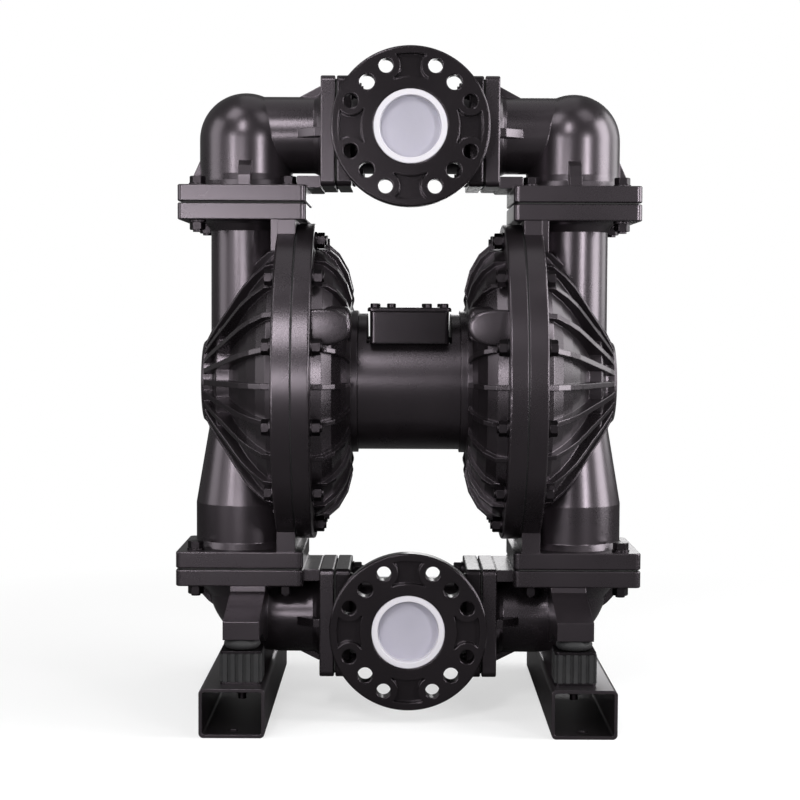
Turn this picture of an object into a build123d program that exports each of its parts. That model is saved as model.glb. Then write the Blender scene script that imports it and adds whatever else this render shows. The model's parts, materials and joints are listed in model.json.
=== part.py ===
"""Air operated double diaphragm pump, 80 mm (3 inch) ports, standing on two foot rails.

Millimetres, +Z up. The floor is Z = 0 and the origin is the middle of the footprint. The two
pumping chambers face each other along X, and both ports face -Y. Right is +X.
"""

import os
from math import cos, radians, sin

from build123d import *

os.makedirs("parts", exist_ok=True)

# ---- Driving dimensions ---------------------------------------------------------------------
AXIS_Z = 424.0  # height of the rod and of both diaphragm chambers
SUCTION_Z = 115.0  # height of the suction port
DISCHARGE_Z = 745.0  # height of the discharge port
TOP_X = 213.0  # distance of the upper duct from the middle of the pump
LOW_X = 216.0  # distance of the lower duct from the middle of the pump

PORT_Y = -131.0  # face of both port flanges
PORT_R = 99.0
PORT_THICK = 22.0
PORT_BORE = 40.5
LIP_R = 46.0  # dust plug lip
LIP_THICK = 2.8
HOLES_METRIC = (80.0, 9.0, 8, 22.5)  # pitch radius, hole radius, count, first angle
HOLES_INCH = (76.2, 9.5, 4, 45.0)

PLATE_HALF = 81.5  # square plates between chambers and elbows
PLATE_THICK = 21.2
PLATE_GAP = 2.0  # gasket between two plates
TOP_SEAM = 653.7
LOW_SEAM = 186.2
PLATE_BOLT = 58.0

SIDE_HALF = 70.0  # square flanges between elbows and tees
SIDE_SEAM = 94.3
SIDE_THICK = 18.6
SIDE_GAP = 2.0
SIDE_BOLT = 52.0

DISC_R = 206.0  # round flanges that clamp the diaphragm
DISC_SEAM = 144.0
DISC_OUT = 168.5
DISC_IN = 121.0
DIAPHRAGM_GAP = 2.0
DISC_BOLT_R = 189.0
DISC_BOLTS = 12

RAIL_X = 213.6
RAIL_W, RAIL_H, RAIL_WALL, RAIL_LEN = 80.0, 60.0, 4.0, 424.0
MOUNT_X, MOUNT_Y = 205.0, 161.0  # middle of each rubber mount
MOUNT_TOP = 101.0
LEG_BOTTOM, LEG_FRONT, LEG_W = 113.5, 180.0, 45.0
FLOOR_HOLE_Y, FLOOR_HOLE_R = 190.0, 6.5

ROD_R = 12.5
STROKE = 32.0
BALL_R = 36.0
SEAT_BORE = 30.0
SEAT_LIFT = (BALL_R**2 - SEAT_BORE**2) ** 0.5 + 0.2  # ball centre above the seat's edge

BOLT_R = 6.0  # M12 shanks
HOLE_R = 6.5
HEX_M12 = 18.0  # across flats
HEAD_H = 9.0
NUT_H = 10.0


# ---- Shapes ---------------------------------------------------------------------------------
def block(x, y, z, edge=0.0, along=Axis.Z):
    """A box from its three (low, high) spans, with the edges along one axis rounded."""
    solid = Pos((x[0] + x[1]) / 2, (y[0] + y[1]) / 2, (z[0] + z[1]) / 2) * Box(
        x[1] - x[0], y[1] - y[0], z[1] - z[0]
    )
    return fillet(solid.edges().filter_by(along), edge) if edge else solid


def rod_x(radius, x, y=0.0, z=AXIS_Z):
    """A cylinder along X over a (low, high) span."""
    return Pos((x[0] + x[1]) / 2, y, z) * Rot(0, 90, 0) * Cylinder(radius, x[1] - x[0])


def rod_y(radius, y, x=0.0, z=0.0):
    return Pos(x, (y[0] + y[1]) / 2, z) * Rot(90, 0, 0) * Cylinder(radius, y[1] - y[0])


def rod_z(radius, z, x=0.0, y=0.0):
    return Pos(x, y, (z[0] + z[1]) / 2) * Cylinder(radius, z[1] - z[0])


def turned_x(points, z=AXIS_Z):
    """A solid turned about the pump's long axis from (x, radius) points."""
    face = make_face(Polyline(*[(x, 0, z + r) for x, r in points], close=True))
    return revolve(face, Axis((0, 0, z), (1, 0, 0)))


def turned_z(points, x):
    """A solid turned about a vertical axis from (radius, z) points."""
    face = make_face(Polyline(*[(x + r, 0, z) for r, z in points], close=True))
    return revolve(face, Axis((x, 0, 0), (0, 0, 1)))


def plate_xz(points, y):
    """A flat rib in the XZ plane over a (low, high) span of Y."""
    face = make_face(Polyline(*[(px, y[0], pz) for px, pz in points], close=True))
    return extrude(face, y[1] - y[0], dir=(0, 1, 0))


def plate_yz(points, x):
    face = make_face(Polyline(*[(x[0], py, pz) for py, pz in points], close=True))
    return extrude(face, x[1] - x[0], dir=(1, 0, 0))


def plate_xy(points, z):
    face = make_face(Polyline(*[(px, py, z[0]) for px, py in points], close=True))
    return extrude(face, z[1] - z[0], dir=(0, 0, 1))


def hexagon(flats, height):
    """A hexagonal prism standing on the XY plane, its rim bevelled like a nut's."""
    body = extrude(RegularPolygon(flats / 2, 6, major_radius=False), height)
    cone = Pos(0, 0, height / 2) * Cylinder(flats * 0.565, height)
    return body & chamfer(cone.edges().filter_by(GeomType.CIRCLE), flats * 0.05)


def bolt(shank_r, length, flats, head):
    """A hex bolt: its washer rests on the XY plane, the head above and the shank below."""
    washer = Pos(0, 0, 1.25) * Cylinder(flats * 0.62, 2.5)
    shank = Pos(0, 0, -length / 2) * Cylinder(shank_r, length)
    return washer + Pos(0, 0, 2.5) * hexagon(flats, head) + shank


def nut(shank_r, flats, height):
    """A washer and nut standing on the XY plane, bored for a shank."""
    body = Pos(0, 0, 1.25) * Cylinder(flats * 0.62, 2.5) + Pos(0, 0, 2.5) * hexagon(flats, height)
    return body - Pos(0, 0, 10) * Cylinder(shank_r + 0.02, 60)


def facing(solid, x, y, z, axis):
    """Places a solid that stands on the XY plane so that it points along +X, -X, +Z or -Z."""
    turn = {"+z": (0, 0, 0), "-z": (180, 0, 0), "+x": (0, 90, 0), "-x": (0, -90, 0)}[axis]
    return Pos(x, y, z) * Rot(*turn) * solid


def ring(count, first=0.0):
    return [first + 360.0 * k / count for k in range(count)]


def corners(x, half):
    return [(x + sx * half, sy * half) for sx in (-1, 1) for sy in (-1, 1)]


def mirrored(solid):
    return mirror(solid, about=Plane.YZ)


def both(solids):
    """The same pieces on the right and, mirrored, on the left."""
    return list(solids) + [mirrored(s) for s in solids]


def save(name, shape):
    """Writes one node. A list is saved as a group of separate solids."""
    if isinstance(shape, list):
        shape = Compound(children=[s for item in shape for s in item.solids()])
    shape.label = name
    export_step(shape, f"parts/{name}.step")


def save_pair(name, right):
    save(f"{name}_right", right)
    save(f"{name}_left", mirrored(right))


# ---- Foot rails: open rectangular tubes with holes for the mounts and for the floor bolts ------
def foot_rail():
    half = RAIL_W / 2
    x, y = (RAIL_X - half, RAIL_X + half), (-RAIL_LEN / 2, RAIL_LEN / 2)
    inner = (x[0] + RAIL_WALL, x[1] - RAIL_WALL)
    tube = block(x, y, (0, RAIL_H), 6, Axis.Y)
    tube -= block(inner, (y[0] - 1, y[1] + 1), (RAIL_WALL, RAIL_H - RAIL_WALL), 3, Axis.Y)
    for side in (-1, 1):
        tube -= rod_z(5.5, (RAIL_H - 10, RAIL_H + 5), MOUNT_X, side * MOUNT_Y)
        tube -= rod_z(FLOOR_HOLE_R, (-5, RAIL_WALL + 5), RAIL_X, side * FLOOR_HOLE_Y)
    return tube


# ---- Rubber mounts: fluted blocks bonded between two steel plates with a stud each -------------
def rubber_mount(x, y):
    block_z = (RAIL_H + 3, MOUNT_TOP - 3)
    body = block((x - 23, x + 23), (y - 23, y + 23), block_z, 4)
    for k in range(-2, 3):
        for side in (-1, 1):
            body += block((x + k * 9.5 - 2.6, x + k * 9.5 + 2.6),
                          (y + side * 24 - 1.8, y + side * 24 + 1.8), block_z)
            body += block((x + side * 24 - 1.8, x + side * 24 + 1.8),
                          (y + k * 9.5 - 2.6, y + k * 9.5 + 2.6), block_z)
    return body


def mount_steel(x, y):
    low = block((x - 25, x + 25), (y - 25, y + 25), (RAIL_H, RAIL_H + 3), 4)
    low += rod_z(5, (RAIL_H - 22, RAIL_H), x, y)
    high = block((x - 25, x + 25), (y - 25, y + 25), (MOUNT_TOP - 3, MOUNT_TOP), 4)
    high += rod_z(5, (MOUNT_TOP, MOUNT_TOP + 27), x, y)
    return [low, high]


def mount_nuts(x, y):
    upper = facing(nut(5, 17, 9.9), x, y, MOUNT_TOP, "+z")
    lower = facing(nut(5, 17, 8), x, y, RAIL_H - RAIL_WALL, "-z")
    return [upper, lower]


# ---- Liquid chamber: disc, ribbed dome, vertical duct, two square plates ------------------------
DOME_OUT = [(DISC_OUT, 0), (DISC_OUT, 172), (177, 168), (190, 154), (203, 136), (214, 116),
            (223, 97), (228, 84), (229, 81), (245, 81), (247, 78), (250, 63), (253, 56), (256, 54),
            (265, 54), (268, 51), (268, 0)]
DOME_IN = [(DISC_SEAM, 0), (DISC_SEAM, 150), (166, 148), (180, 138), (192, 121), (204, 100),
           (215, 76), (236, 62), (250, 44), (258, 38), (259, 0)]
RIB_OUT = [(DISC_OUT - 1, 160), (DISC_OUT - 1, 177), (182, 174), (198, 159), (212, 142),
           (224, 123), (236, 103), (247, 86), (258, 67), (265, 53), (250, 50), (226, 70),
           (200, 110), (176, 140)]


def square_plate(x, z_low):
    plate = block((x - PLATE_HALF, x + PLATE_HALF), (-PLATE_HALF, PLATE_HALF),
                  (z_low, z_low + PLATE_THICK), 7)
    rims = plate.faces().filter_by(Axis.Z).edges()
    return chamfer(rims, 1.2)


def duct_bore(low, high):
    """Guide fins for a ball, standing in from a round bore of radius 50."""
    x, z = low
    return [Pos(x, 0, 0) * Rot(0, 0, a) * block((37.5, 51), (-3, 3), (z, high)) for a in ring(4, 45)]


def liquid_chamber():
    gap = DIAPHRAGM_GAP / 2
    top_low = TOP_SEAM - PLATE_GAP / 2 - PLATE_THICK
    low_low = LOW_SEAM + PLATE_GAP / 2
    low_top = low_low + PLATE_THICK
    body = rod_x(DISC_R, (DISC_SEAM + gap, DISC_OUT))
    body = fillet(body.edges().sort_by(Axis.X)[-1], 2.5)
    body += turned_x(DOME_OUT)
    tab_y = (-PLATE_HALF + 1, PLATE_HALF - 1)
    body += block((DISC_SEAM + gap, DISC_OUT), tab_y, (AXIS_Z, top_low + 1))
    body += block((DISC_SEAM + gap, DISC_OUT), tab_y, (low_top - 1, AXIS_Z))
    for angle in ring(24):
        if min(abs(angle - 90), abs(angle - 270)) > 1:
            rib = plate_xz([(x, AXIS_Z + r) for x, r in RIB_OUT], (-3.5, 3.5))
            body += rib.rotate(Axis((0, 0, AXIS_Z), (1, 0, 0)), angle - 90)
    upper = turned_z([(0, AXIS_Z), (46.5, AXIS_Z), (46.5, top_low - 12), (52, top_low - 3),
                      (56, top_low + 1), (0, top_low + 1)], TOP_X)
    lower = turned_z([(0, AXIS_Z), (46.5, AXIS_Z), (46.5, 362), (61, 277), (63, 265),
                      (63, low_top + 8), (69, low_top - 1), (0, low_top - 1)], LOW_X)
    body += upper + lower + square_plate(TOP_X, top_low) + square_plate(LOW_X, low_low)
    for side in (-1, 1):
        body += block((DISC_OUT - 1, 176), (side * 78 - 3, side * 78 + 3), (AXIS_Z + 168, top_low + 1))
    body -= turned_x(DOME_IN)
    body -= turned_z([(0, AXIS_Z + 30), (34, AXIS_Z + 30), (34, TOP_SEAM), (0, TOP_SEAM)], TOP_X)
    bore = turned_z([(0, AXIS_Z - 30), (34, AXIS_Z - 30), (34, 352), (50, 282), (50, LOW_SEAM),
                     (0, LOW_SEAM)], LOW_X)
    for fin in duct_bore((LOW_X, low_low + 16), 290):
        bore -= fin
    body -= bore
    body -= rod_z(57.6, (low_low - 1, low_low + 10.1), LOW_X)
    for angle in ring(DISC_BOLTS, 15):
        y, z = DISC_BOLT_R * cos(radians(angle)), AXIS_Z + DISC_BOLT_R * sin(radians(angle))
        stud = abs(abs(sin(radians(angle))) - sin(radians(75))) < 0.01
        body -= rod_x(BOLT_R + 0.02 if stud else HOLE_R, (DISC_SEAM, 162 if stud else 190), y, z)
    for x, y in corners(TOP_X, PLATE_BOLT):
        inner = x < TOP_X
        body -= rod_z(BOLT_R + 0.02 if inner else HOLE_R, (618 if inner else 600, TOP_SEAM), x, y)
    for x, y in corners(LOW_X, PLATE_BOLT):
        inner = x < LOW_X
        body -= rod_z(BOLT_R + 0.02 if inner else HOLE_R, (LOW_SEAM, 222 if inner else 240), x, y)
    return body


# ---- Air chamber: inner disc, ribbed dome, neck, cast boss --------------------------------------
AIR_OUT = [(DISC_IN, 0), (DISC_IN, 178), (108, 174), (96, 163), (85, 144), (79, 127), (75.5, 105),
           (75, 93), (66, 93), (66, 0)]
AIR_IN = [(DISC_SEAM, 0), (DISC_SEAM, 150), (128, 150), (112, 146), (100, 134), (90, 112),
          (86, 95), (84, 80), (84, 0)]
RIB_AIR = [(DISC_IN + 1, 150), (DISC_IN + 1, 181), (106, 180), (91, 167), (79, 146), (73.5, 124),
           (77, 106), (90, 130), (104, 150)]
NECK_SCREW_R = 62.0


def air_chamber():
    gap = DIAPHRAGM_GAP / 2
    body = rod_x(DISC_R, (DISC_IN, DISC_SEAM - gap))
    body = fillet(body.edges().sort_by(Axis.X)[0], 2.5)
    body += turned_x(AIR_OUT)
    for angle in ring(24):
        rib = plate_xz([(x, AXIS_Z + r) for x, r in RIB_AIR], (-3, 3))
        body += rib.rotate(Axis((0, 0, AXIS_Z), (1, 0, 0)), angle - 90)
    boss = rod_x(20.5, (73, DISC_IN + 2), -130, AXIS_Z + 78)
    body += fillet(boss.edges().filter_by(GeomType.CIRCLE).sort_by(Axis.X)[0], 8)
    body -= turned_x(AIR_IN)
    body -= rod_x(26, (60, 90))
    body -= rod_x(7, (60, 90), 0, AXIS_Z + 38)
    body -= rod_x(6, (60, 90), 0, AXIS_Z - 50)
    for angle in ring(6, 0):
        y, z = NECK_SCREW_R * cos(radians(angle)), AXIS_Z + NECK_SCREW_R * sin(radians(angle))
        body -= rod_x(5.5, (60, 90), y, z)
    for angle in ring(DISC_BOLTS, 15):
        y, z = DISC_BOLT_R * cos(radians(angle)), AXIS_Z + DISC_BOLT_R * sin(radians(angle))
        body -= rod_x(HOLE_R, (DISC_IN - 1, DISC_SEAM), y, z)
        body -= rod_x(13, (DISC_IN - 24, DISC_IN), y, z)
    return body


# ---- Centre block and air valve -----------------------------------------------------------------
PAD_Z = 475.5
VALVE_TOP = 516.0
COVER_TOP = 521.3
SPOOL_Z = 496.0
EXHAUST_Z = 378.0
PORT_X = 27.0


def centre_block():
    body = rod_x(89, (-66, 66))
    body -= block((-54, 54), (-95, 95), (PAD_Z, 540))
    body += rod_y(31, (40, 98), 0, EXHAUST_Z)
    body -= rod_y(20.02, (62, 99), 0, EXHAUST_Z) + rod_y(14, (24, 63), 0, EXHAUST_Z)
    body -= rod_x(13.5, (-70, 70)) + rod_x(18.0, (46, 70)) + rod_x(18.0, (-70, -46))
    body -= rod_x(4.05, (-70, 70), 0, AXIS_Z - 50)
    for side in (-1, 1):
        body -= rod_z(7, (AXIS_Z + 34, PAD_Z + 1), side * PORT_X, 0)
        body -= rod_x(7, tuple(sorted((side * (PORT_X - 5), side * 70))), 0, AXIS_Z + 38)
        for angle in ring(6, 0):
            y, z = NECK_SCREW_R * cos(radians(angle)), AXIS_Z + NECK_SCREW_R * sin(radians(angle))
            if z < PAD_Z + 20:
                body -= rod_x(5.02, tuple(sorted((side * 50, side * 67))), y, z)
    body -= rod_z(9, (EXHAUST_Z + 10, PAD_Z + 1), 0, 40)
    return body


def valve_body():
    body = block((-50, 50), (-90, 90), (PAD_Z, VALVE_TOP), 5)
    body += rod_y(19, (85, 97), 0, SPOOL_Z)
    body -= rod_x(15, (-60, 60), 0, SPOOL_Z)
    body -= rod_y(13.02, (70, 100), 0, SPOOL_Z) + rod_y(9, (12, 71), 0, SPOOL_Z)
    slot = block((-43, 43), (-4.5, 47), (PAD_Z - 1, PAD_Z + 3))
    body -= slot - block((-33.5, 33.5), (-9, 33), (PAD_Z - 2, PAD_Z + 9))
    for side in (-1, 1):
        body -= rod_z(7, (PAD_Z - 1, SPOOL_Z - 8), side * PORT_X, 0)
        body -= rod_z(3.5, (PAD_Z - 1, SPOOL_Z - 8), side * 38, 0)
        body -= block((-38, 38), tuple(sorted((side * 54, side * 76))), (PAD_Z - 1, PAD_Z + 14), 6)
    for x, y in cover_holes():
        body -= rod_z(3.02, (VALVE_TOP - 14, VALVE_TOP + 1), x, y)
    return body


def cover_holes():
    return [(x, y) for x in (-44, -23, 23, 44) for y in (-82, 82)]


def valve_cover():
    cover = block((-53, 53), (-92, 92), (VALVE_TOP, COVER_TOP), 6)
    cover = chamfer(cover.faces().sort_by(Axis.Z)[-1].edges(), 1.5)
    for x, y in cover_holes():
        cover -= rod_z(3.3, (VALVE_TOP - 1, COVER_TOP + 1), x, y)
    return cover


def valve_sleeve():
    sleeve = rod_x(14.98, (-41, 41), 0, SPOOL_Z) - rod_x(11, (-45, 45), 0, SPOOL_Z)
    for x in (-38, -PORT_X, 0, PORT_X, 38):
        if abs(x) < 38:
            sleeve -= rod_x(16, (x - 4, x + 4), 0, SPOOL_Z) - rod_x(13, (x - 5, x + 5), 0, SPOOL_Z)
        for angle in ring(6, 30):
            sleeve -= Pos(x, 0, SPOOL_Z) * Rot(angle, 0, 0) * Pos(0, 0, 12) * Cylinder(2.4, 10)
    return sleeve


def valve_spool():
    profile = [(-31, 0), (-31, 10.95), (-21, 10.95), (-19, 7), (-9, 7), (-7, 10.95), (7, 10.95),
               (9, 7), (19, 7), (21, 10.95), (31, 10.95), (31, 0)]
    return turned_x(profile, SPOOL_Z)


# ---- Rod, plates, diaphragms ----------------------------------------------------------------------
HUB_IN, HUB_OUT = 141.5, 146.5


def inner_plate():
    profile = [(HUB_IN, ROD_R), (HUB_IN, 80), (139, 85), (134, 86), (131, 82), (130, 70),
               (130, 30), (124, 27), (122, 24), (122, ROD_R)]
    return turned_x(profile)


def outer_plate():
    profile = [(HUB_OUT, ROD_R), (HUB_OUT, 78), (149, 83), (154, 84), (158, 81), (162, 66),
               (168, 40), (176, 28), (182, 22), (184, 12), (184, 0), (165, 0), (165, ROD_R)]
    return turned_x(profile)


def diaphragm():
    """A rubber disc with one rolling fold between its hub and its clamped rim."""
    fold = [(HUB_IN, 88), (136, 100), (131, 112), (129.5, 121), (131.5, 131), (137, 141), (143, 148)]
    back = [(145, 149), (140.5, 139), (135.5, 129.5), (134, 121), (135.5, 113.5), (140.5, 102.5),
            (HUB_OUT, 90)]
    z = AXIS_Z
    edges = [Polyline((HUB_IN, 0, z + 12.6), (HUB_IN, 0, z + 88)),
             Spline(*[(x, 0, z + r) for x, r in fold]),
             Polyline((143, 0, z + 148), (143, 0, z + DISC_R - 1), (145, 0, z + DISC_R - 1),
                      (145, 0, z + 149)),
             Spline(*[(x, 0, z + r) for x, r in back]),
             Polyline((HUB_OUT, 0, z + 90), (HUB_OUT, 0, z + 12.6), (HUB_IN, 0, z + 12.6))]
    body = revolve(make_face(edges), Axis((0, 0, z), (1, 0, 0)))
    for angle in ring(DISC_BOLTS, 15):
        y, dz = DISC_BOLT_R * cos(radians(angle)), DISC_BOLT_R * sin(radians(angle))
        body -= rod_x(HOLE_R, (140, 150), y, z + dz)
    return body


# ---- Elbows ---------------------------------------------------------------------------------------
def side_flange(seam_side, z):
    """A square flange on the elbow side (+1) or the tee side (-1) of the seam."""
    near = SIDE_SEAM + seam_side * SIDE_GAP / 2
    far = SIDE_SEAM + seam_side * (SIDE_GAP / 2 + SIDE_THICK)
    flange = block(tuple(sorted((near, far))), (-SIDE_HALF, SIDE_HALF),
                   (z - SIDE_HALF, z + SIDE_HALF), 7, Axis.X)
    return chamfer(flange.faces().filter_by(Axis.X).edges(), 1.2)


def side_holes(z, radius, x):
    return [rod_x(radius, x, sy * SIDE_BOLT, z + sz * SIDE_BOLT) for sy in (-1, 1) for sz in (-1, 1)]


def discharge_elbow():
    low = TOP_SEAM + PLATE_GAP / 2
    top = low + PLATE_THICK
    flange_x = SIDE_SEAM + SIDE_GAP / 2 + SIDE_THICK
    body = square_plate(TOP_X, low) + side_flange(1, DISCHARGE_Z)
    body += turned_z([(0, low + 3), (66, low + 3), (66, top), (62, top + 8), (61, top + 16),
                      (61, 738), (0, 738)], TOP_X)
    body += Pos(TOP_X, 0, 738) * Sphere(61)
    body += rod_x(49.5, (flange_x - 2, TOP_X), 0, DISCHARGE_Z)
    body += turned_x([(flange_x - 1, 0), (flange_x - 1, 58), (flange_x + 5, 52), (flange_x + 11, 49),
                      (flange_x + 11, 0)], DISCHARGE_Z)
    body += block((flange_x - 1, 145), (-66, 66), (top - 3, top + 12), 3, Axis.Y)
    for side in (-1, 1):
        web = [(flange_x - 1, side * 30), (flange_x - 1, side * 68), (122, side * 68),
               (148, side * 46), (148, side * 30)]
        body += plate_xy(web, (DISCHARGE_Z - 7, DISCHARGE_Z + 4))
        rib = [(side * 40, top - 1), (side * 79, top - 1), (side * 77, top + 12),
               (side * 71, top + 25), (side * 58, top + 34), (side * 40, top + 36)]
        body += plate_yz(rib, (TOP_X - 11, TOP_X + 5))
    body += plate_xz([(flange_x - 1, 785), (flange_x - 1, 808), (118, 808), (144, 794), (144, 785)],
                     (-6, 6))
    body += plate_xz([(TOP_X + 50, top - 1), (TOP_X + 79, top - 1), (TOP_X + 70, top + 14),
                      (TOP_X + 61, top + 34), (TOP_X + 50, top + 36)], (-7, 7))
    bore = rod_z(50, (low - 1, 738), TOP_X) + Pos(TOP_X, 0, 738) * Sphere(50)
    for fin in duct_bore((TOP_X, low + 18), 732):
        bore -= fin
    body -= bore
    body -= rod_z(57.6, (low - 1, low + 10.1), TOP_X)
    body -= rod_x(38.5, (SIDE_SEAM, TOP_X), 0, DISCHARGE_Z)
    for x, y in corners(TOP_X, PLATE_BOLT):
        body -= rod_z(HOLE_R, (low - 1, top + 1), x, y)
        body -= rod_z(13.5, (top, top + 14), x, y)
    for hole in side_holes(DISCHARGE_Z, BOLT_R + 0.02, (SIDE_SEAM, SIDE_SEAM + 15)):
        body -= hole
    return body


BEND = 49.0
BEND_X = LOW_X - BEND


def bend(radius):
    """A quarter bend from the plate down and round to the horizontal pipe."""
    start = Plane(origin=(LOW_X, 0, SUCTION_Z + BEND), z_dir=(0, 0, -1)) * Circle(radius)
    axis = Axis((BEND_X, 0, SUCTION_Z + BEND), (0, 1, 0))
    return revolve(start, axis, 90)


def suction_elbow():
    low = LOW_SEAM - PLATE_GAP / 2 - PLATE_THICK
    top = low + PLATE_THICK
    flange_x = SIDE_SEAM + SIDE_GAP / 2 + SIDE_THICK
    body = square_plate(LOW_X, low) + side_flange(1, SUCTION_Z)
    body += bend(48.5) + rod_x(48.5, (flange_x - 2, BEND_X), 0, SUCTION_Z)
    body += turned_z([(0, low + 4), (66, low + 4), (62, low - 2), (54, low - 12), (44, low - 24),
                      (0, low - 24)], LOW_X)
    body += turned_x([(flange_x - 1, 0), (flange_x - 1, 57), (flange_x + 5, 51), (flange_x + 11, 48),
                      (flange_x + 11, 0)], SUCTION_Z)
    body += block((flange_x - 1, 145), (-66, 66), (top - 16, top - 1), 3, Axis.Y)
    for side in (-1, 1):
        web = [(flange_x - 1, side * 30), (flange_x - 1, side * 68), (122, side * 68),
               (146, side * 46), (146, side * 30)]
        body += plate_xy(web, (SUCTION_Z - 6, SUCTION_Z + 5))
        leg = [(side * 10, low + 2), (side * 79, low + 2), (side * 84, low - 6),
               (side * LEG_FRONT, 136), (side * LEG_FRONT, LEG_BOTTOM), (side * 132, LEG_BOTTOM),
               (side * 70, 92), (side * 10, 92)]
        body += plate_yz(leg, (MOUNT_X - LEG_W / 2, MOUNT_X + LEG_W / 2))
    body += plate_xz([(flange_x - 1, 75), (flange_x - 1, 55), (118, 55), (144, 68), (144, 75)], (-6, 6))
    body += plate_xz([(LOW_X + 35, low + 1), (LOW_X + 76, low + 1), (LOW_X + 72, low - 4),
                      (LOW_X + 47, low - 31), (LOW_X + 35, low - 40)], (-7, 7))
    body -= bend(38.5) + rod_x(38.5, (SIDE_SEAM, BEND_X), 0, SUCTION_Z)
    body -= rod_z(38.5, (SUCTION_Z + BEND - 0.1, LOW_SEAM), LOW_X)
    for side in (-1, 1):
        body -= rod_z(5.02, (LEG_BOTTOM - 1, MOUNT_TOP + 30), MOUNT_X, side * MOUNT_Y)
    for x, y in corners(LOW_X, PLATE_BOLT):
        body -= rod_z(HOLE_R, (low - 1, top + 1), x, y)
        body -= rod_z(13.5, (low - 16, low), x, y)
    for hole in side_holes(SUCTION_Z, BOLT_R + 0.02, (SIDE_SEAM, SIDE_SEAM + 15)):
        body -= hole
    return body


# ---- Tees with their port flanges ------------------------------------------------------------------
def port_pocket(angle):
    """One of the four shallow pockets in a port flange's face, waisted between two bolt bosses."""
    pitch, _, _, first = HOLES_METRIC
    shape = Circle(89.5) - Circle(61)
    shape &= Pos(75, 0) * Rectangle(60, 41)
    for side in (-1, 1):
        shape -= Pos(pitch * cos(radians(first)), side * pitch * sin(radians(first))) * Circle(17.8)
    return Rot(0, 0, angle) * extrude(shape, 9)


def tee(z):
    inner = SIDE_SEAM - SIDE_GAP / 2 - SIDE_THICK
    back = PORT_Y + PORT_THICK
    body = rod_x(49.5, (-inner - 2, inner + 2), 0, z)
    cap = Pos(0, 0, z) * Sphere(53)
    body += cap & block((-60, 60), (0, 60), (z - 60, z + 60))
    body += rod_y(53, (back, 0), 0, z)
    for flange in both([side_flange(-1, z)]):
        body += flange
    collar = turned_x([(inner - 10, 0), (inner - 10, 49), (inner - 4, 52), (inner + 1, 57),
                       (inner + 1, 0)], z)
    body += collar + mirrored(collar)
    neck = Plane(origin=(0, back, z), z_dir=(0, 1, 0))
    port = extrude(neck * Circle(PORT_R), -PORT_THICK)
    port = chamfer(port.edges().filter_by(GeomType.CIRCLE), 1.5)
    body += port
    body += loft([neck * Circle(66), Plane(origin=(0, back + 14, z), z_dir=(0, 1, 0)) * Circle(53)])
    face = Plane(origin=(0, PORT_Y, z), x_dir=(1, 0, 0), z_dir=(0, 1, 0))
    for angle in ring(4):
        body -= face * port_pocket(angle)
    for pitch, radius, count, first in (HOLES_METRIC, HOLES_INCH):
        for angle in ring(count, first):
            x, dz = pitch * cos(radians(angle)), pitch * sin(radians(angle))
            body -= rod_y(radius, (PORT_Y - 1, back + 16), x, z + dz)
    body -= rod_y(PORT_BORE, (PORT_Y - 1, 0), 0, z) + Pos(0, 0, z) * Sphere(PORT_BORE)
    body -= rod_y(LIP_R + 0.3, (PORT_Y - 1, PORT_Y + LIP_THICK), 0, z)
    body -= rod_x(38.5, (-SIDE_SEAM, SIDE_SEAM), 0, z)
    for hole in side_holes(z, HOLE_R, (inner - 1, SIDE_SEAM)):
        body -= hole + mirrored(hole)
    return body


def port_plug(z):
    """A push-in dust plug: a rounded lip let into the port's face, a thin cup with its disc set back."""
    rim = PORT_Y + 0.1
    back = PORT_Y + LIP_THICK
    profile = [(37.0, -116), (0, -116), (0, -118), (37.0, -118), (38.2, -119), (38.4, rim + 0.6),
               (39.0, rim), (LIP_R - 0.8, rim), (LIP_R, rim + 0.8), (LIP_R, back), (40.3, back),
               (40.1, -112), (38.6, -110.5), (37.0, -111)]
    face = make_face(Polyline(*[(r, y, z) for r, y in profile], close=True))
    return revolve(face, Axis((0, 0, z), (0, 1, 0)))


# ---- Seats, balls and gaskets ----------------------------------------------------------------------
def seat(x, z_low):
    """A ball seat, its mouth bevelled inside the sealing edge."""
    return turned_z([(SEAT_BORE - 2, z_low), (57.4, z_low), (57.4, z_low + 12),
                     (SEAT_BORE, z_low + 12), (SEAT_BORE - 2, z_low + 9)], x)


def plate_gasket(x, seam):
    sheet = block((x - 77, x + 77), (-77, 77), (seam - PLATE_GAP / 2, seam + PLATE_GAP / 2), 6)
    sheet -= rod_z(57.6, (seam - 5, seam + 5), x)
    for px, py in corners(x, PLATE_BOLT):
        sheet -= rod_z(HOLE_R, (seam - 5, seam + 5), px, py)
    return sheet


def side_gasket(z):
    x = (SIDE_SEAM - SIDE_GAP / 2, SIDE_SEAM + SIDE_GAP / 2)
    sheet = block(x, (-66, 66), (z - 66, z + 66), 6, Axis.X) - rod_x(38.5, (x[0] - 1, x[1] + 1), 0, z)
    for hole in side_holes(z, HOLE_R, (x[0] - 1, x[1] + 1)):
        sheet -= hole
    return sheet


# ---- Fasteners ---------------------------------------------------------------------------------------
def disc_fasteners():
    bolts, nuts = [], []
    for angle in ring(DISC_BOLTS, 15):
        y, z = DISC_BOLT_R * cos(radians(angle)), AXIS_Z + DISC_BOLT_R * sin(radians(angle))
        if abs(abs(sin(radians(angle))) - sin(radians(75))) < 0.01:
            bolts.append(rod_x(BOLT_R, (DISC_IN - 15, 161), y, z))
        else:
            bolts.append(facing(bolt(BOLT_R, DISC_OUT - DISC_IN + 15, HEX_M12, HEAD_H),
                                DISC_OUT, y, z, "+x"))
        nuts.append(facing(nut(BOLT_R, HEX_M12, NUT_H), DISC_IN, y, z, "-x"))
    return bolts, nuts


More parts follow.
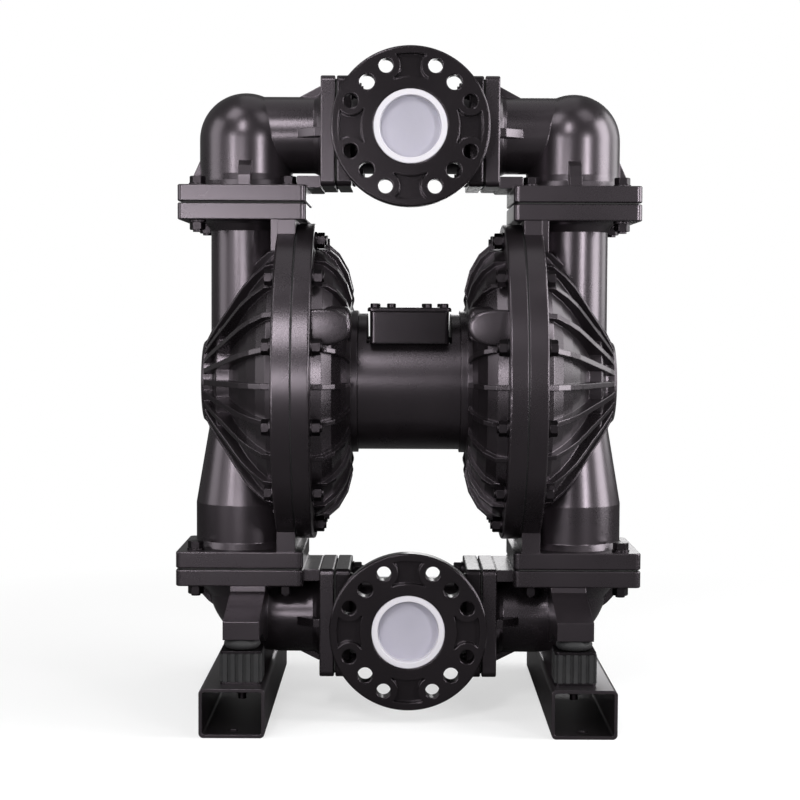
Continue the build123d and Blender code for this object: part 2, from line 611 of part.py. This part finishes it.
def plate_fasteners():
    bolts, nuts = [], []
    top = TOP_SEAM + PLATE_GAP / 2 + PLATE_THICK
    under_top = TOP_SEAM - PLATE_GAP / 2 - PLATE_THICK
    low_top = LOW_SEAM + PLATE_GAP / 2 + PLATE_THICK
    low = LOW_SEAM - PLATE_GAP / 2 - PLATE_THICK
    for x, y in corners(TOP_X, PLATE_BOLT):
        if x < TOP_X:
            bolts.append(facing(bolt(BOLT_R, top - 619, HEX_M12, HEAD_H), x, y, top, "+z"))
        else:
            bolts.append(facing(bolt(BOLT_R, top - under_top + 15, HEX_M12, HEAD_H), x, y, top, "+z"))
            nuts.append(facing(nut(BOLT_R, HEX_M12, NUT_H), x, y, under_top, "-z"))
    for x, y in corners(LOW_X, PLATE_BOLT):
        if x < LOW_X:
            bolts.append(rod_z(BOLT_R, (low - 15, 221), x, y))
        else:
            bolts.append(facing(bolt(BOLT_R, low_top - low + 15, HEX_M12, HEAD_H), x, y, low_top, "+z"))
        nuts.append(facing(nut(BOLT_R, HEX_M12, NUT_H), x, y, low, "-z"))
    return bolts, nuts


def side_fasteners(z):
    inner = SIDE_SEAM - SIDE_GAP / 2 - SIDE_THICK
    studs, nuts = [], []
    for sy in (-1, 1):
        for sz in (-1, 1):
            y, dz = sy * SIDE_BOLT, z + sz * SIDE_BOLT
            studs.append(rod_x(BOLT_R, (inner - 15, SIDE_SEAM + 14), y, dz))
            nuts.append(facing(nut(BOLT_R, HEX_M12, NUT_H), inner, y, dz, "-x"))
    return studs, nuts


def neck_screw(angle):
    y, z = NECK_SCREW_R * cos(radians(angle)), AXIS_Z + NECK_SCREW_R * sin(radians(angle))
    head = rod_x(8, (84, 94), y, z) - rod_x(3.6, (89, 95), y, z)
    return head + rod_x(5, (51, 84), y, z)


def cover_screw(x, y):
    head = rod_z(5.5, (COVER_TOP, COVER_TOP + 5), x, y)
    head = chamfer(head.edges().filter_by(GeomType.CIRCLE).sort_by(Axis.Z)[-1], 0.8)
    head -= Pos(x, y, COVER_TOP + 2.5) * extrude(RegularPolygon(2.6, 6, major_radius=False), 4)
    return head + rod_z(3, (VALVE_TOP - 13, COVER_TOP), x, y)


# ---- Silencer and air inlet at the back ----------------------------------------------------------------
def silencer():
    profile = [(0, 66), (20, 66), (20, 98.2), (27, 98.2), (28, 100), (28, 108), (26.5, 110),
               (26.5, 170), (28, 172), (28, 180), (24, 186), (0, 188)]
    face = make_face(Polyline(*[(r, y, EXHAUST_Z) for r, y in profile], close=True))
    body = revolve(face, Axis((0, 0, EXHAUST_Z), (0, 1, 0)))
    body -= rod_y(14, (60, 166), 0, EXHAUST_Z)
    slot = Pos(0, 140, EXHAUST_Z + 26) * Box(3.2, 50, 16)
    for angle in ring(16):
        body -= slot.rotate(Axis((0, 0, EXHAUST_Z), (0, 1, 0)), angle)
    return body


def inlet_bush():
    collar = Pos(0, 97, SPOOL_Z) * Rot(-90, 0, 0) * extrude(
        RegularPolygon(16, 6, major_radius=False), 9)
    return collar + rod_y(13, (72, 97), 0, SPOOL_Z) - rod_y(9, (70, 110), 0, SPOOL_Z)


# ---- Every node ------------------------------------------------------------------------------------------
mounts = [(row, side, sx * MOUNT_X, sy * MOUNT_Y)
          for row, sy in (("front", -1), ("rear", 1)) for side, sx in (("left", -1), ("right", 1))]
save_pair("foot_rail", foot_rail())
for row, side, x, y in mounts:
    save(f"rubber_mount_{row}_{side}", rubber_mount(x, y))
save("mount_studs", [s for _, _, x, y in mounts for s in mount_steel(x, y)])
save("mount_nuts", [s for _, _, x, y in mounts for s in mount_nuts(x, y)])

save_pair("liquid_chamber", liquid_chamber())
save_pair("air_chamber", air_chamber())
save_pair("discharge_elbow", discharge_elbow())
save_pair("suction_elbow", suction_elbow())
save("discharge_tee", tee(DISCHARGE_Z))
save("suction_tee", tee(SUCTION_Z))
save("discharge_plug", port_plug(DISCHARGE_Z))
save("suction_plug", port_plug(SUCTION_Z))

save("centre_block", centre_block())
save("valve_body", valve_body())
save("valve_cover", valve_cover())
save("valve_sleeve", valve_sleeve())
save("valve_spool", valve_spool())
save("valve_end_plugs", both([rod_x(14.98, (41, 49.5), 0, SPOOL_Z)]))
save("cover_screws", [cover_screw(x, y) for x, y in cover_holes()])
save("silencer", silencer())
save("inlet_bush", inlet_bush())

save("diaphragm_rod", rod_x(ROD_R, (-165, 165)))
save("rod_bushes", both([rod_x(17.98, (46, 66)) - rod_x(ROD_R + 0.05, (40, 70))]))
save("pilot_pin", rod_x(4, (-97.7, 97.7), 0, AXIS_Z - 50))
save_pair("inner_plate", inner_plate())
save_pair("outer_plate", outer_plate())
save_pair("diaphragm", diaphragm())

upper_seat = TOP_SEAM - PLATE_GAP / 2
lower_seat = LOW_SEAM - PLATE_GAP / 2
save("discharge_seats", both([seat(TOP_X, upper_seat)]))
save("suction_seats", both([seat(LOW_X, lower_seat)]))
save_pair("discharge_ball", Pos(TOP_X, 0, upper_seat + 12 + SEAT_LIFT) * Sphere(BALL_R))
save_pair("suction_ball", Pos(LOW_X, 0, lower_seat + 12 + SEAT_LIFT) * Sphere(BALL_R))
save("plate_gaskets", both([plate_gasket(TOP_X, TOP_SEAM), plate_gasket(LOW_X, LOW_SEAM)]))
save("side_gaskets", both([side_gasket(DISCHARGE_Z), side_gasket(SUCTION_Z)]))

disc_bolts, disc_nuts = disc_fasteners()
save("chamber_bolts", both(disc_bolts))
save("chamber_nuts", both(disc_nuts))
plate_bolts, plate_nuts = plate_fasteners()
save("plate_bolts", both(plate_bolts))
save("plate_nuts", both(plate_nuts))
top_studs, top_nuts = side_fasteners(DISCHARGE_Z)
low_studs, low_nuts = side_fasteners(SUCTION_Z)
save("side_studs", both(top_studs + low_studs))
save("side_nuts", both(top_nuts + low_nuts))
save("neck_screws", both([neck_screw(a) for a in ring(6)]))
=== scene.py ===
"""Looks for the air operated diaphragm pump: satin black castings, steel fasteners, white plugs.

Metres, +Z up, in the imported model's own frame.
"""

from math import cos, pi, radians, sin

import bpy
import numpy as np
from mathutils import Matrix, Vector
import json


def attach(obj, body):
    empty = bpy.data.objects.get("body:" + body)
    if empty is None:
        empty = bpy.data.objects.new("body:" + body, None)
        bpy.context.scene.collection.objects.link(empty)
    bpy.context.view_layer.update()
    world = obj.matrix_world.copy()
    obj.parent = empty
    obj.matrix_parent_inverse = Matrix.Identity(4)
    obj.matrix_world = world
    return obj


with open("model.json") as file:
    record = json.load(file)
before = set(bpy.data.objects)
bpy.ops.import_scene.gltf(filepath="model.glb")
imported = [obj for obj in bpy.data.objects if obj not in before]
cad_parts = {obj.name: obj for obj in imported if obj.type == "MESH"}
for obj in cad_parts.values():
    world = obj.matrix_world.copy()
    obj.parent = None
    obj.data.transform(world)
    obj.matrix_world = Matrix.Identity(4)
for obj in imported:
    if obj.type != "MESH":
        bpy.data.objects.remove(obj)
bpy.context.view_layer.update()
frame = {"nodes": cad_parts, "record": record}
nodes = frame["nodes"]


# ---- Shader sums and materials ---------------------------------------------------------------
# A Value wraps one node socket, so that shader sums read as plain arithmetic. Sheet makes a
# material's nodes: every pattern uses Object coordinates, in metres.
class Value:
    """A node socket that can be added, multiplied and so on with another or with a number."""

    def __init__(self, tree, socket):
        self.tree, self.socket = tree, socket

    def join(self, operation, *others, clamp=False):
        node = self.tree.nodes.new("ShaderNodeMath")
        node.operation, node.use_clamp = operation, clamp
        for index, item in enumerate((self,) + others):
            if isinstance(item, Value):
                self.tree.links.new(item.socket, node.inputs[index])
            else:
                node.inputs[index].default_value = item
        return Value(self.tree, node.outputs[0])

    def __add__(self, other):
        return self.join("ADD", other)

    def __sub__(self, other):
        return self.join("SUBTRACT", other)

    def __mul__(self, other):
        return self.join("MULTIPLY", other)

    def step(self, low, high):
        """0 below low, 1 above high and a straight ramp between."""
        return (self - low).join("MULTIPLY", 1.0 / (high - low), clamp=True)


class Sheet:
    """One material, its Principled shader and the nodes that feed it."""

    def __init__(self, name, colour, roughness, metallic=0.0, specular=0.5):
        self.material = bpy.data.materials.new(name)
        self.material.use_nodes = True
        self.material.diffuse_color = (*colour, 1)
        self.tree = self.material.node_tree
        self.shader = self.tree.nodes["Principled BSDF"]
        self.set("Base Color", (*colour, 1))
        self.set("Roughness", roughness)
        self.set("Metallic", metallic)
        self.set("Specular IOR Level", specular)
        self.place = self.node("ShaderNodeTexCoord").outputs["Object"]

    def node(self, kind, inputs=None, **settings):
        made = self.tree.nodes.new(kind)
        for key, value in settings.items():
            setattr(made, key, value)
        for key, value in (inputs or {}).items():
            socket = made.inputs[key]
            value = value.socket if isinstance(value, Value) else value
            if isinstance(value, bpy.types.NodeSocket):
                self.tree.links.new(value, socket)
            else:
                socket.default_value = value
        return made

    def set(self, name, value):
        """Links or sets one input of the Principled shader."""
        socket = self.shader.inputs[name]
        value = value.socket if isinstance(value, Value) else value
        if isinstance(value, bpy.types.NodeSocket):
            self.tree.links.new(value, socket)
        else:
            socket.default_value = value

    def noise(self, scale, detail=2.0, rough=0.5):
        made = self.node("ShaderNodeTexNoise", {"Vector": self.place, "Scale": scale,
                                                "Detail": detail, "Roughness": rough})
        return Value(self.tree, made.outputs["Fac"])

    def axis(self, name):
        parts = self.node("ShaderNodeSeparateXYZ", {"Vector": self.place})
        return Value(self.tree, parts.outputs[name])

    def mix(self, factor, first, second):
        """Colour between two, each of them three numbers or a node socket."""
        ends = [end if isinstance(end, bpy.types.NodeSocket) else (*end, 1) for end in (first, second)]
        return self.node("ShaderNodeMix", {0: factor, 6: ends[0], 7: ends[1]}, data_type="RGBA").outputs[2]

    def relief(self, height, distance, edge=0.0):
        """Bump from a height, over normals that are rounded at hard edges when edge is given."""
        inputs = {"Height": height, "Distance": distance}
        if edge:
            inputs["Normal"] = self.node("ShaderNodeBevel", {"Radius": edge}, samples=6).outputs[0]
        self.set("Normal", self.node("ShaderNodeBump", inputs).outputs["Normal"])


def coated(name, colour, dusty, roughness, grain, edge, specular=0.78):
    """Satin black stove coating over a sand casting: orange peel, a little dust, soft edges."""
    sheet = Sheet(name, colour, roughness, specular=specular)
    sheet.set("Specular Tint", (1.0, 0.87, 0.98, 1))
    broad, fine = sheet.noise(9.0, 3.0), sheet.noise(grain, 2.0)
    sheet.set("Base Color", sheet.mix(broad.step(0.35, 0.7), colour, dusty))
    sheet.set("Roughness", broad * 0.06 + fine * 0.03 + (roughness - 0.045))
    sheet.relief(fine + sheet.noise(140.0, 1.0) * 0.8, 0.00002, edge)
    return sheet.material


def metal(name, colour, roughness, streak, edge):
    """Plated or turned metal with faint streaks and handling marks."""
    sheet = Sheet(name, colour, roughness, metallic=1.0)
    marks = sheet.noise(60.0, 4.0, 0.6)
    sheet.set("Base Color", sheet.mix(marks.step(0.3, 0.75), colour, tuple(0.72 * c for c in colour)))
    sheet.set("Roughness", marks * streak + (roughness - streak / 2))
    sheet.relief(sheet.noise(900.0, 2.0), 0.00006, edge)
    return sheet.material


def rubber(name, colour, dusty, roughness, grain):
    sheet = Sheet(name, colour, roughness, specular=0.3)
    bloom = sheet.noise(25.0, 4.0, 0.6)
    sheet.set("Base Color", sheet.mix(bloom.step(0.4, 0.8), colour, dusty))
    sheet.set("Roughness", bloom * 0.15 + (roughness - 0.07))
    sheet.relief(sheet.noise(grain, 3.0), 0.00025, 0.0006)
    return sheet.material


finishes = {
    "cast_black": coated("satin_black_casting", (0.0060, 0.0049, 0.0056), (0.0105, 0.0086, 0.0098),
                         0.28, 620.0, 0.0016),
    "gloss_black": coated("gloss_black_casting", (0.0050, 0.0042, 0.0047), (0.0080, 0.0067, 0.0075),
                         0.20, 620.0, 0.0024, specular=0.42),
    "rail_paint": coated("satin_black_tube", (0.0050, 0.0043, 0.0047), (0.0085, 0.0070, 0.0078),
                         0.32, 900.0, 0.0008),
    "rubber_black": rubber("moulded_rubber", (0.012, 0.012, 0.013), (0.028, 0.027, 0.028), 0.62, 700.0),
    "ball_rubber": rubber("ball_rubber", (0.02, 0.02, 0.021), (0.035, 0.034, 0.035), 0.5, 900.0),
    "gasket_dark": rubber("sheet_gasket", (0.03, 0.03, 0.03), (0.05, 0.05, 0.048), 0.7, 1200.0),
    "zinc_steel": metal("black_oxide_steel", (0.036, 0.031, 0.035), 0.34, 0.14, 0.0005),
    "ground_steel": metal("ground_steel", (0.66, 0.66, 0.68), 0.16, 0.08, 0.0004),
    "seat_steel": metal("turned_steel", (0.55, 0.55, 0.56), 0.28, 0.1, 0.0004),
    "bare_aluminium": metal("turned_aluminium", (0.62, 0.62, 0.64), 0.32, 0.12, 0.0005),
    "brass_fitting": metal("turned_brass", (0.62, 0.44, 0.17), 0.28, 0.12, 0.0004),
    "silencer_plastic": rubber("silencer_plastic", (0.03, 0.03, 0.032), (0.05, 0.05, 0.05), 0.55, 500.0),
}


# ---- Push-in dust plugs: white ring outside, milky lavender disc set back ----------------------
# The disc is thin and lets a little of the dark port show through, so it is greyer than the lip.
LIP_BACK = -0.1195  # y where the lip ends and the disc's well begins
LIP_FADE = 0.0010


def plug_material():
    sheet = Sheet("white_plug_plastic", (0.80, 0.78, 0.82), 0.34, specular=0.5)
    depth = sheet.axis("Y")
    disc = depth.step(LIP_BACK, LIP_BACK + LIP_FADE)
    clouds = sheet.noise(14.0, 2.0)
    shade = sheet.mix(clouds, (0.36, 0.345, 0.41), (0.43, 0.415, 0.48))
    sheet.set("Base Color", sheet.mix(disc, (0.60, 0.58, 0.62), shade))
    sheet.set("Subsurface Weight", 0.25)
    sheet.set("Subsurface Radius", (0.004, 0.004, 0.005))
    sheet.set("Roughness", clouds * 0.12 + 0.28)
    sheet.relief(sheet.noise(300.0, 2.0), 0.00006, 0.0006)
    return sheet.material


finishes["plug_white"] = plug_material()
# The tees and the air valve are painted blacker and glossier than the other castings.
BLACK_NODES = ("discharge_tee", "suction_tee", "valve_body", "valve_cover")
for part in frame["record"]["subparts"]:
    piece = nodes[part["node"]]
    look = finishes["gloss_black" if part["node"] in BLACK_NODES else part["material_slot"]]
    for index in range(len(piece.material_slots)):
        piece.material_slots[index].material = look


# ---- Boss and ring pieces ------------------------------------------------------------------------
# Cast pads with round ends on the air chambers, and bulged rubber rings round the upper nuts of the
# foot mounts, on which the cast legs come down when the pump jumps.
def skin(name, grid, slot_name):
    """Smooth mesh over a grid of points that closes on itself along rows and columns."""
    rows, steps = grid.shape[:2]
    quads = [(i * steps + k, i * steps + (k + 1) % steps, (i + 1) % rows * steps + (k + 1) % steps,
              (i + 1) % rows * steps + k) for i in range(rows) for k in range(steps)]
    mesh = bpy.data.meshes.new(name)
    mesh.from_pydata(grid.reshape(-1, 3).tolist(), [], quads)
    mesh.polygons.foreach_set("use_smooth", [True] * len(quads))
    piece = bpy.data.objects.new(name, mesh)
    bpy.context.scene.collection.objects.link(piece)
    mesh.materials.append(finishes[slot_name])
    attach(piece, "housing")


def around(steps):
    return np.linspace(0, 2 * pi, steps, endpoint=False)[None, :]


def lathe(profile, place, steps=56):
    """For each (r, h) of a closed profile, points r cos a, r sin a, h, moved to place."""
    radius, height = np.array(profile).T[:, :, None]
    angle = around(steps)
    grid = np.broadcast_arrays(radius * np.cos(angle), radius * np.sin(angle), height)
    return np.stack(grid, -1) + place


def pad(profile, half_width, half_height, place, steps=96):
    """For each (s, y) of a closed profile, the superellipse |x/a|^n + |z/b|^n = s^n, moved to place."""
    scale, depth = np.array(profile).T[:, :, None]
    angle = around(steps)
    power = 2 / PAD_SQUARENESS
    across = half_width * np.sign(np.cos(angle)) * np.abs(np.cos(angle)) ** power
    up = half_height * np.sign(np.sin(angle)) * np.abs(np.sin(angle)) ** power
    grid = np.broadcast_arrays(scale * across, depth, scale * up)
    return np.stack(grid, -1) + place


PAD_SQUARENESS = 2.3
PAD_FRONT, PAD_BACK, PAD_SOFT, PAD_CROWN = -0.1700, -0.1350, 0.0040, 0.0010
PAD_X, PAD_Z = 0.108, 0.497
PAD_HALF_WIDTH, PAD_HALF_HEIGHT = 0.036, 0.0222
PINHOLE = 0.002  # share of the outline left open at a pad's middle, so that its grid closes
pad_edge = [(1 - 0.16 * (1 - cos(t)), PAD_FRONT + PAD_SOFT * (1 - sin(t))) for t in np.linspace(0, pi / 2, 8)]
pad_face = [(s, PAD_FRONT - PAD_CROWN * (1 - s * s)) for s in (0.6, 0.3, 0.02, PINHOLE)]
pad_profile = [(PINHOLE, PAD_BACK), (1.0, PAD_BACK)] + pad_edge + pad_face
for side, x in (("left", -PAD_X), ("right", PAD_X)):
    outline = pad(pad_profile, PAD_HALF_WIDTH, PAD_HALF_HEIGHT, (x, 0, PAD_Z))
    skin(f"air_boss_{side}", outline, "cast_black")

RING_BORE, RING_WALL, RING_ROUND, RING_GAP = 0.0105, 0.0060, 0.0060, 0.0002
MOUNT_X, MOUNT_Y, RING_Z = 0.205, 0.161, 0.101
bulge = [(RING_BORE + RING_WALL + RING_ROUND * sin(t), RING_GAP + RING_ROUND * (1 - cos(t)))
         for t in np.linspace(0.0, pi, 13)]
ring_section = [(RING_BORE, RING_GAP)] + bulge + [(RING_BORE, RING_GAP + 2 * RING_ROUND)]
for side, x in (("left", -MOUNT_X), ("right", MOUNT_X)):
    for end, y in (("front", -MOUNT_Y), ("rear", MOUNT_Y)):
        skin(f"rebound_ring_{end}_{side}", lathe(ring_section, (x, y, RING_Z)), "rubber_black")


# ---- Floor, light and camera --------------------------------------------------------------------
# The camera sees a white floor and a white world; the pump itself sees a dim room with soft boxes:
# a key near the lens at the left, one high, one far to the right, and panels at the sides and back.
WORLD_GLOW = 0.16
LAMP_TARGET = (0, 0, 0.45)
LAMPS = [  # name, place, size, watts
    ("left_key", (-0.60, -2.3, 0.56), (0.70, 0.40), 14.0),
    ("left_wide", (-1.50, -2.3, 0.90), (0.40, 0.50), 14.0),
    ("left_high", (-0.50, -2.3, 2.10), (0.40, 0.90), 24.0),
    ("right_key", (1.50, -2.3, 0.80), (0.40, 0.60), 26.0),
    ("right_side", (1.50, -0.3, 0.90), (0.70, 1.50), 30.0),
    ("right_rear", (1.50, 0.7, 1.05), (0.70, 1.30), 8.0),
    ("left_side", (-1.50, -0.3, 0.95), (0.70, 1.30), 8.0),
    ("left_low", (-1.50, -1.3, 0.50), (0.70, 0.70), 3.0),
    ("top_left", (-0.80, -0.6, 2.10), (0.70, 0.70), 6.0),
    ("top_right", (0.80, -0.6, 2.10), (0.70, 0.70), 3.0),
    ("top", (0.00, 0.4, 2.30), (1.00, 1.60), 2.0),
    ("back", (0.40, 2.3, 1.00), (0.90, 0.90), 8.0),
]


def soft_box(name, place, target, size, power):
    lamp = bpy.data.lights.new(name, "AREA")
    lamp.shape, lamp.size, lamp.size_y = "RECTANGLE", size[0], size[1]
    lamp.energy = power
    holder = bpy.data.objects.new(name, lamp)
    bpy.context.scene.collection.objects.link(holder)
    aim = (Vector(target) - Vector(place)).to_track_quat("-Z", "Y")
    holder.matrix_world = Matrix.Translation(place) @ aim.to_matrix().to_4x4()


def surroundings():
    scene = bpy.context.scene
    scene.view_settings.view_transform = "Standard"
    world = bpy.data.worlds.new("studio")
    scene.world = world
    world.use_nodes = True
    tree = world.node_tree
    ground = tree.nodes["Background"]
    rays = tree.nodes.new("ShaderNodeLightPath").outputs
    seen = Value(tree, rays["Is Camera Ray"]).join("MAXIMUM", Value(tree, rays["Is Transmission Ray"]))
    ground.inputs["Color"].default_value = (1, 1, 1, 1)
    tree.links.new(seen.join("MAXIMUM", WORLD_GLOW).socket, ground.inputs["Strength"])


FLOOR_HALF = 14.0
PLAIN_FROM, PLAIN_SHARE = (0.35, 1.3), 0.58  # metres from the middle, and share of plain white there


def floor():
    """White to the camera, with a soft shadow near the pump; dim to everything else."""
    mesh = bpy.data.meshes.new("floor")
    half = FLOOR_HALF
    corners = [(-half, -half, 0), (half, -half, 0), (half, half, 0), (-half, half, 0)]
    mesh.from_pydata(corners, [], [(0, 1, 2, 3)])
    piece = bpy.data.objects.new("floor", mesh)
    bpy.context.scene.collection.objects.link(piece)
    sheet = Sheet("pale_floor", (0.90, 0.90, 0.90), 0.9, specular=0.0)
    rays = sheet.node("ShaderNodeLightPath").outputs
    seen = Value(sheet.tree, rays["Is Camera Ray"])
    sheet.set("Base Color", sheet.mix(seen, (0.12, 0.12, 0.12), (0.92, 0.92, 0.92)))
    away = sheet.node("ShaderNodeVectorMath", {0: sheet.place}, operation="LENGTH").outputs["Value"]
    far = (Value(sheet.tree, away).step(*PLAIN_FROM) * (1 - PLAIN_SHARE) + PLAIN_SHARE) * seen
    glow = sheet.node("ShaderNodeEmission", {"Color": (1, 1, 1, 1), "Strength": 1.0})
    blend = sheet.node("ShaderNodeMixShader", {0: far, 1: sheet.shader.outputs[0],
                                               2: glow.outputs[0]})
    out = sheet.tree.nodes["Material Output"]
    sheet.tree.links.new(blend.outputs[0], out.inputs["Surface"])
    mesh.materials.append(sheet.material)


def camera():
    """An 80 mm lens 2.34 m from the pump, a little above its middle, tilted down 3 degrees."""
    data = bpy.data.cameras.new("camera")
    data.lens, data.sensor_width = 80.0, 36.0
    data.clip_end = 60.0
    holder = bpy.data.objects.new("camera", data)
    bpy.context.scene.collection.objects.link(holder)
    turn = Matrix.Rotation(radians(90 - 3.06), 4, "X") @ Matrix.Rotation(radians(0.26), 4, "Z")
    holder.matrix_world = Matrix.Translation((-0.0115, -2.338, 0.5244)) @ turn
    bpy.context.scene.camera = holder


surroundings()
floor()
camera()
for name, place, size, power in LAMPS:
    soft_box(name, place, LAMP_TARGET, size, power)
